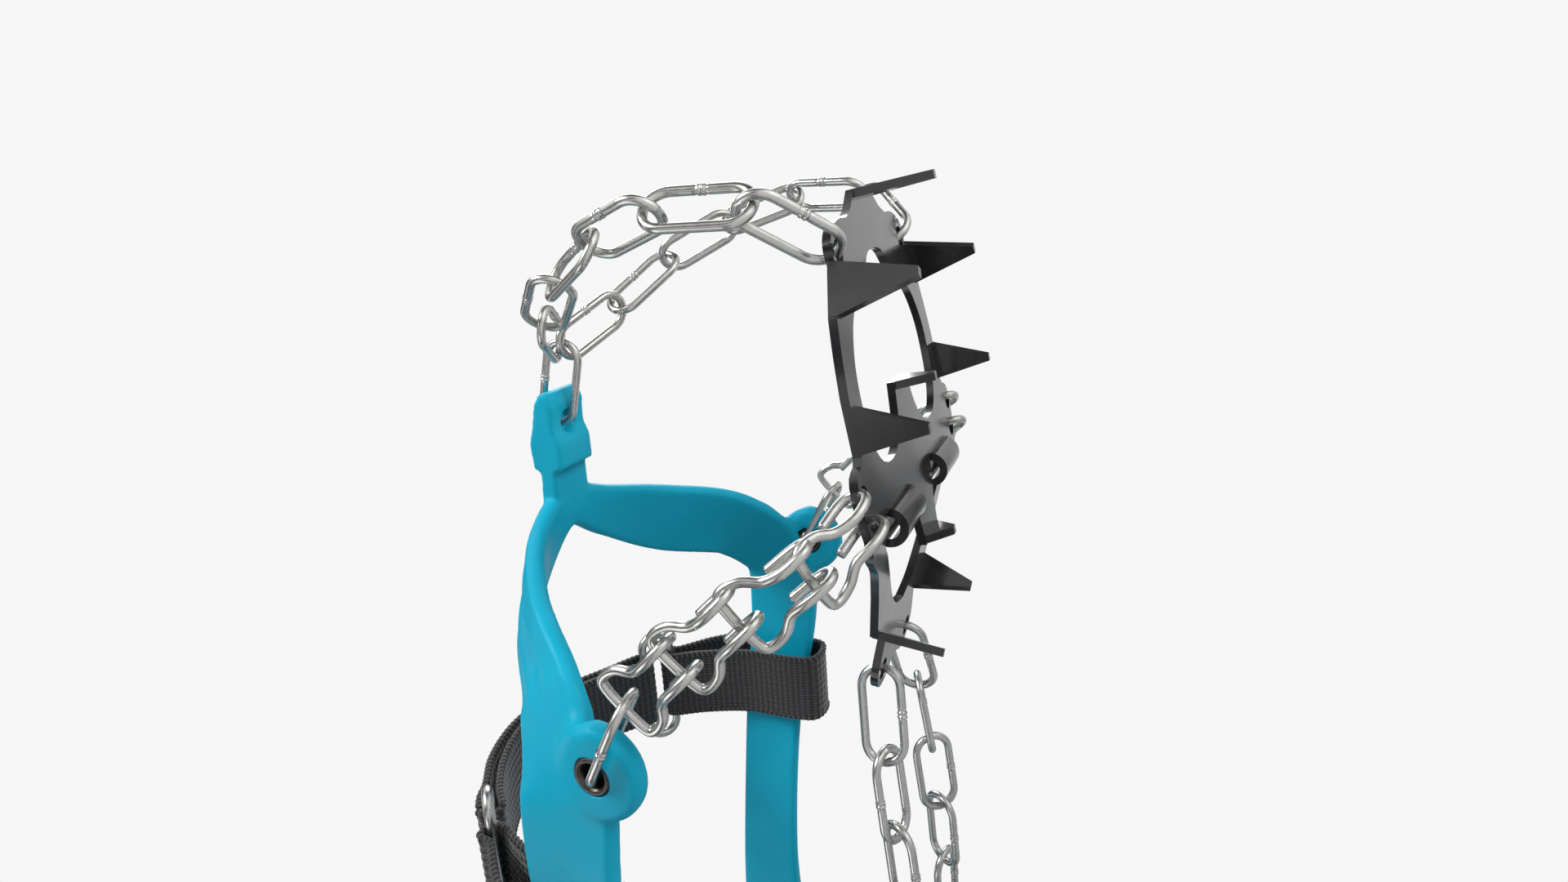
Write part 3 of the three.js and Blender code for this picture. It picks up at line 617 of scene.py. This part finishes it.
def ear_disc():
    """Flat disc with a rounded rim, for one ear's lobe."""
    steps = 6
    rounding = EAR_ROUNDING
    outline = [(0, EAR_THICKNESS / 2)]
    for k in range(steps + 1):
        a = math.pi / 2 * (1 - k / steps)
        height = EAR_THICKNESS / 2 - rounding + rounding * math.sin(a)
        outline.append((EAR_RADIUS - rounding + rounding * math.cos(a), height))
    outline += [(r, -z) for r, z in reversed(outline)]
    return lathe(outline, 64)


def apply_all(obj):
    bpy.context.view_layer.objects.active = obj
    for modifier in list(obj.modifiers):
        bpy.ops.object.modifier_apply(modifier=modifier.name)


def prism(name, outline, low, high):
    """Closed prism: a flat outline of (x, z) points carried along Y from low to high."""
    n = len(outline)
    verts = [(x, low, z) for x, z in outline] + [(x, high, z) for x, z in outline]
    faces = [tuple(range(n)), tuple(range(2 * n - 1, n - 1, -1))]
    faces += [(i, (i + 1) % n, n + (i + 1) % n, n + i) for i in range(n)]
    obj = mesh_object(name, np.array(verts) * MM, faces)
    fix_normals(obj)
    return obj


def drill(body, at, axis, radius, low, high):
    """Cuts a round hole along an axis, between two heights above the point it passes through."""
    verts, faces = lathe([(0, low), (radius, low), (radius, high), (0, high)], 40)
    tool = mesh_object("drill", placed(verts, np.array(at) * MM, (1, 0, 0), axis), faces)
    fix_normals(tool, merge_within=1e-6)
    cut = body.modifiers.new("cut", "BOOLEAN")
    cut.object = tool
    cut.operation = "DIFFERENCE"
    cut.solver = "EXACT"
    apply_all(body)
    bpy.data.objects.remove(tool)


def all_ears():
    """Middle and outward direction of all four ears."""
    for (x, y, z), out in EARS:
        for side in (1, -1):
            yield np.array([x, y * side, z]), unit((out[0], out[1] * side, out[2]))


def ear_parts(at, outward):
    """One ear's lobe and the short neck that joins it to the band."""
    disc, faces = ear_disc()
    world = placed(disc, at * MM, (1, 0, 0), outward)
    height = world[:, 2] / MM - at[2]
    flush = np.clip((height - 4.2) / 5, 0, 1) * EAR_SINK * MM
    outer = ((world - at * MM) @ outward) > 0
    world -= np.outer(flush * outer, outward)
    lobe = mesh_object("ear", world, faces)
    fix_normals(lobe)
    x, y, z = at
    outline = [(x - 8.0, z + 1), (x + 8.0, z + 1), (x + 6.4, z + 6), (x - 6.4, z + 6)]
    neck = prism("neck", outline, y - 1.9 * outward[1], y - 0.3 * outward[1])
    return [lobe, neck]


def blend_roots(body):
    """Melts the ears into the band's outer face, leaving their free lobes alone."""
    group = body.vertex_groups.new(name="roots")
    co = np.zeros(len(body.data.vertices) * 3)
    body.data.vertices.foreach_get("co", co)
    co = co.reshape(-1, 3) / MM
    weight = np.zeros(len(co))
    for at, _ in all_ears():
        root = at + np.array([0, 0, ROOT_RISE])
        reach = np.abs(co - root) / np.array(ROOT_REACH)
        weight = np.maximum(weight, np.clip(2.4 - 2.4 * reach.max(1), 0, 1))
    levels = 10
    for level in range(1, levels + 1):
        chosen = np.nonzero((weight > (level - 1) / levels) & (weight <= level / levels))[0]
        group.add([int(k) for k in chosen], level / levels, "REPLACE")
    relax = body.modifiers.new("roots", "SMOOTH")
    relax.factor = 0.7
    relax.iterations = 90
    relax.vertex_group = "roots"
    apply_all(body)


def harness():
    """Band, ears and toe tab melted into one moulding, then drilled."""
    body = mesh_object("harness_moulding", *band_mesh(BAND_STATIONS, BAND_COLUMNS))
    fix_normals(body)
    parts = [body]
    for at, outward in all_ears():
        parts += ear_parts(at, outward)
    parts.append(prism("tab", TAB_SIDE, -TAB_HALF_WIDTH, TAB_HALF_WIDTH))
    bpy.ops.object.select_all(action="DESELECT")
    for part in parts:
        part.select_set(True)
    bpy.context.view_layer.objects.active = body
    bpy.ops.object.join()
    remesh = body.modifiers.new("one_skin", "REMESH")
    remesh.mode = "VOXEL"
    remesh.voxel_size = SKIN_VOXEL * MM
    remesh.use_smooth_shade = True
    relax = body.modifiers.new("moulded", "SMOOTH")
    relax.factor = 0.5
    relax.iterations = 4
    apply_all(body)
    blend_roots(body)
    seat = EAR_THICKNESS / 2 - SEAT_DEPTH
    for at, outward in all_ears():
        drill(body, at, outward, EYELET_HOLE, -4, 4)
        drill(body, at, outward, EYELET_SEAT, seat, 4)
        drill(body, at, outward, EYELET_SEAT, -4, -seat)
    drill(body, TAB_HOLE_AT, (0, 0, 1), TAB_HOLE, -9, 9)
    body.data.shade_smooth()
    body.data.materials.clear()
    body.data.materials.append(ELASTOMER)
    stand_for(body, "harness")


harness()


# ---- instep strap --------------------------------------------------------------------
# Routes are drawn across the boot, as (y, z). Left-hand ones have a positive y.
STRAP_X = -12.0
STRAP_WIDTH = 20.0
WEBBING_THICK = 1.5
WEBBING_RIBS = 9
STATION_SPACING = 0.55
THREAD_RADIUS = 0.24
THREAD_PITCH = 1.5                # the overlock thread goes once round the edge in this length
THREAD_STEPS = 10
STRAP_BAR = (34.0, 90.5)          # the ring's bar in the strap's fold
LOOP_BAR = (40.4, 84.8)           # its bar in the loop's fold
GAP = 0.35                        # between webbing and wire
TURN = RING_WIRE / 2 + 1.7 * GAP + WEBBING_THICK / 2


def turn_round(bar, start, end):
    """A fold round a ring's bar, between two angles."""
    steps = 6
    points = []
    for i in range(steps + 1):
        a = math.radians(start + (end - start) * i / steps)
        points.append((bar[0] + TURN * math.cos(a), bar[1] + TURN * math.sin(a)))
    return points


def mirrored(points):
    return [(-y, z) for y, z in points]


ARCH = [(27, 93.6), (17, 100), (7, 103.6), (0, 104.3)]
FOLD = turn_round(STRAP_BAR, -130, 50)
SEWN = [(31.2, 95.3), (27.6, 97.2), (18.4, 102.9)]
STRAP_ROUTE = (FOLD + SEWN)[::-1] + ARCH + mirrored(ARCH[:-1])[::-1] + mirrored(FOLD)
END_ROUTE = [
    (-34.8, 93.1), (-31, 95.8), (-27.6, 97.2), (-18.4, 102.9), (-7.8, 106.4), (0, 107.2), (8, 106.3),
]
LOOP_ROUTE = turn_round(LOOP_BAR, 200, -20) + [
    (52, 74.5), (57.4, 64), (57.8, 47), (56.4, 42.4), (51.6, 41), (47, 42.4), (45.8, 48), (46, 63),
    (42, 76),
]


def webbing_section():
    """Flat ribbed section with rounded edges, as (across, out, place across from 0 to 1)."""
    half = STRAP_WIDTH / 2
    thick = WEBBING_THICK
    steps = 6 * WEBBING_RIBS
    top = []
    for i in range(steps + 1):
        v = i / steps
        rib = 0.5 + 0.5 * math.cos(2 * math.pi * WEBBING_RIBS * v)
        top.append((-half + 0.7 + (STRAP_WIDTH - 1.4) * v, thick / 2 - 0.12 - 0.16 * rib, v))
    edge = [
        (half - 0.25, thick / 2 - 0.1, 1.0), (half, 0.28 * thick, 1.0),
        (half, -0.28 * thick, 1.0), (half - 0.25, 0.1 - thick / 2, 1.0),
    ]
    under = [(w, -t, v) for w, t, v in reversed(top)]
    other_edge = [(-w, -t, 0.0) for w, t, _ in edge]
    return top + edge + under + other_edge


def webbing(name, path, closed, node):
    """A strap lofted along its route, with its length and width as texture coordinates."""
    section = webbing_section()
    n = len(path)
    verts = []
    uvs = []
    distance = 0.0
    for i in range(n):
        if closed:
            tangent = unit(path[(i + 1) % n] - path[i - 1])
        else:
            tangent = unit(path[min(i + 1, n - 1)] - path[max(i - 1, 0)])
        out = np.array([tangent[1], -tangent[0]])
        if i:
            distance += np.linalg.norm(path[i] - path[i - 1])
        for w, t, v in section:
            y, z = path[i] + out * t
            verts.append((STRAP_X + w, y, z))
            uvs.append((distance * MM, v * STRAP_WIDTH * MM))
    obj = mesh_object(name, np.array(verts) * MM, wrapped_faces(n, len(section), closed))
    layer = obj.data.uv_layers.new(name="UVMap")
    for loop in obj.data.loops:
        layer.data[loop.index].uv = uvs[loop.vertex_index]
    finish_piece(obj, node, WEBBING)


def edge_thread(name, path, node):
    """Overlock thread wound along both edges of a strap."""
    run = np.concatenate([[0], np.cumsum(np.linalg.norm(np.diff(path, axis=0), axis=1))])
    total = run[-1]
    turns = int(total / THREAD_PITCH)
    count = turns * THREAD_STEPS
    look = 0.4

    def at(distance):
        place = min(max(distance, 0), total)
        return np.array([np.interp(place, run, path[:, 0]), np.interp(place, run, path[:, 1])])

    verts = []
    faces = []
    for side in (1, -1):
        points = []
        for i in range(count):
            d = total * i / (count - 1)
            tangent = unit(at(d + look) - at(d - look))
            a = 2 * math.pi * turns * i / (count - 1)
            across = side * (STRAP_WIDTH / 2 - 0.55 + 0.62 * math.cos(a))
            lift = 0.72 * math.sin(a)
            y, z = at(d)
            points.append((STRAP_X + across, y + tangent[1] * lift, z - tangent[0] * lift))
        tube, tube_faces = swept(points, [THREAD_RADIUS] * count, 6, False)
        shift = len(verts)
        verts += list(tube)
        faces += [tuple(k + shift for k in face) for face in tube_faces]
    obj = mesh_object(name, np.array(verts) * MM, faces)
    fix_normals(obj)
    obj.data.materials.append(THREAD)
    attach(obj, BODY_OF[node])


for name, route, closed, node in (
    ("instep_webbing", STRAP_ROUTE, False, "instep_strap"),
    ("loose_end_webbing", END_ROUTE, False, "strap_end"),
    ("right_loop_webbing", mirrored(LOOP_ROUTE), True, "right_strap_loop"),
    ("left_loop_webbing", LOOP_ROUTE, True, "left_strap_loop"),
):
    rough_path = catmull(route, 400, closed)
    length = np.linalg.norm(np.diff(rough_path, axis=0), axis=1).sum()
    path = catmull(route, int(length / STATION_SPACING), closed)
    webbing(name, path, closed, node)
    edge_thread(name + "_overlock", path, node)


# ---- floor, light, camera ------------------------------------------------------------
FLOOR_Z = CAD_BOX[0][2] - 0.2 * MM
FLOOR_REACH = 1500 * MM
FLOOR_FADE = (250 * MM, 900 * MM)  # the floor fades out between these distances
ROOM_TONE = (0.92, 0.925, 0.92, 1)
CAMERA_AT = Vector((124.7, -165.8, -39.8)) * MM
CAMERA_FORWARD = Vector((-0.262, 0.892, 0.369))
CAMERA_UP = Vector((0.962, 0.268, 0.036))
CAMERA_TURN = math.radians(0.4)
CAMERA_LENS = 20.3
CAMERA_SENSOR = 36


def floor_material():
    """Pale speckle seen from above only: the camera stands lower than the floor."""
    mat, tree, bsdf = new_material("pale_floor")
    drive(tree, bsdf, "Base Color", noise(tree, position(tree), 30, 4), [(0.3, 0.60), (0.7, 0.64)])
    bsdf.inputs["Roughness"].default_value = 0.7
    clear = add(tree, "ShaderNodeBsdfTransparent")
    mix = add(tree, "ShaderNodeMixShader")
    facing = add(tree, "ShaderNodeNewGeometry")
    ray = add(tree, "ShaderNodeLightPath")
    either = add(tree, "ShaderNodeMath", operation="MAXIMUM")
    tree.links.new(facing.outputs["Backfacing"], either.inputs[0])
    tree.links.new(ray.outputs["Is Shadow Ray"], either.inputs[1])
    tree.links.new(either.outputs["Value"], mix.inputs["Fac"])
    tree.links.new(bsdf.outputs["BSDF"], mix.inputs[1])
    tree.links.new(clear.outputs["BSDF"], mix.inputs[2])
    reach = add(tree, "ShaderNodeVectorMath", operation="LENGTH")
    tree.links.new(position(tree), reach.inputs[0])
    fade = add(tree, "ShaderNodeMapRange", interpolation_type="SMOOTHSTEP")
    fade.inputs["From Min"].default_value = FLOOR_FADE[0]
    fade.inputs["From Max"].default_value = FLOOR_FADE[1]
    tree.links.new(reach.outputs["Value"], fade.inputs["Value"])
    edge = add(tree, "ShaderNodeMixShader")
    tree.links.new(fade.outputs["Result"], edge.inputs["Fac"])
    tree.links.new(mix.outputs["Shader"], edge.inputs[1])
    tree.links.new(clear.outputs["BSDF"], edge.inputs[2])
    output = tree.nodes["Material Output"]
    tree.links.new(edge.outputs["Shader"], output.inputs["Surface"])
    return mat


def floor():
    signs = ((-1, -1), (1, -1), (1, 1), (-1, 1))
    corners = [(x * FLOOR_REACH, y * FLOOR_REACH, FLOOR_Z) for x, y in signs]
    ground = mesh_object("floor", corners, [(0, 1, 2, 3)], smooth=False)
    ground.data.materials.append(floor_material())


def studio_world():
    """Even pale room. Reflections see soft light panels in it instead."""
    world = bpy.data.worlds.new("studio")
    bpy.context.scene.world = world
    world.use_nodes = True
    sky = world.node_tree
    bands = add(sky, "ShaderNodeTexWave", wave_type="BANDS", bands_direction="DIAGONAL",
                in_Scale=0.55, in_Distortion=2.2, in_Detail=0.0, in_Detail_Scale=1.0)
    sky.links.new(add(sky, "ShaderNodeTexCoord").outputs["Generated"], bands.inputs["Vector"])
    panels = ramp(sky, bands.outputs["Fac"], [(0.15, 0.04), (0.5, 0.16), (0.8, 0.85)])
    ray = add(sky, "ShaderNodeLightPath")
    choose = add(sky, "ShaderNodeMix", data_type="RGBA")
    fac, panel_tone, room_tone = (choose.inputs[k] for k in (0, 6, 7))
    sky.links.new(ray.outputs["Is Camera Ray"], fac)
    sky.links.new(panels, panel_tone)
    room_tone.default_value = ROOM_TONE
    background = sky.nodes["Background"]
    sky.links.new(choose.outputs[2], background.inputs["Color"])
    background.inputs["Strength"].default_value = 1.0


def light(name, spot, target, size, power):
    """Square soft light, placed in metres."""
    data = bpy.data.lights.new(name, "AREA")
    data.shape = "SQUARE"
    data.size = size
    data.energy = power
    obj = bpy.data.objects.new(name, data)
    bpy.context.scene.collection.objects.link(obj)
    obj.location = spot
    obj.rotation_euler = (Vector(target) - Vector(spot)).to_track_quat("-Z", "Y").to_euler()


def low_camera():
    """Looks up at the plates from below the sole's right side, with the toe at the top."""
    data = bpy.data.cameras.new("camera")
    data.lens = CAMERA_LENS
    data.sensor_width = CAMERA_SENSOR
    data.clip_start = 0.005
    data.clip_end = 60
    camera = bpy.data.objects.new("camera", data)
    bpy.context.scene.collection.objects.link(camera)
    bpy.context.scene.camera = camera
    forward = CAMERA_FORWARD.normalized()
    right = forward.cross(CAMERA_UP).normalized()
    up = right.cross(forward)
    forward = (forward * math.cos(CAMERA_TURN) + right * math.sin(CAMERA_TURN)).normalized()
    right = forward.cross(up).normalized()
    turn = Matrix((right, up, -forward)).transposed()
    camera.matrix_world = Matrix.Translation(CAMERA_AT) @ turn.to_4x4()


floor()
bpy.context.scene.view_settings.view_transform = "Standard"
studio_world()
light("key", (0.55, -0.30, 0.60), (0.03, 0, 0.03), 0.30, 6.5)
light("fill", (-0.5, -0.6, 0.45), (0, 0, 0.03), 0.5, 1.2)
light("rim", (0.3, 0.6, 0.4), (0.05, 0, 0.03), 0.4, 2.4)
light("under", (0.50, -0.05, -0.35), (0.08, 0, 0.0), 0.30, 2.2)
low_camera()
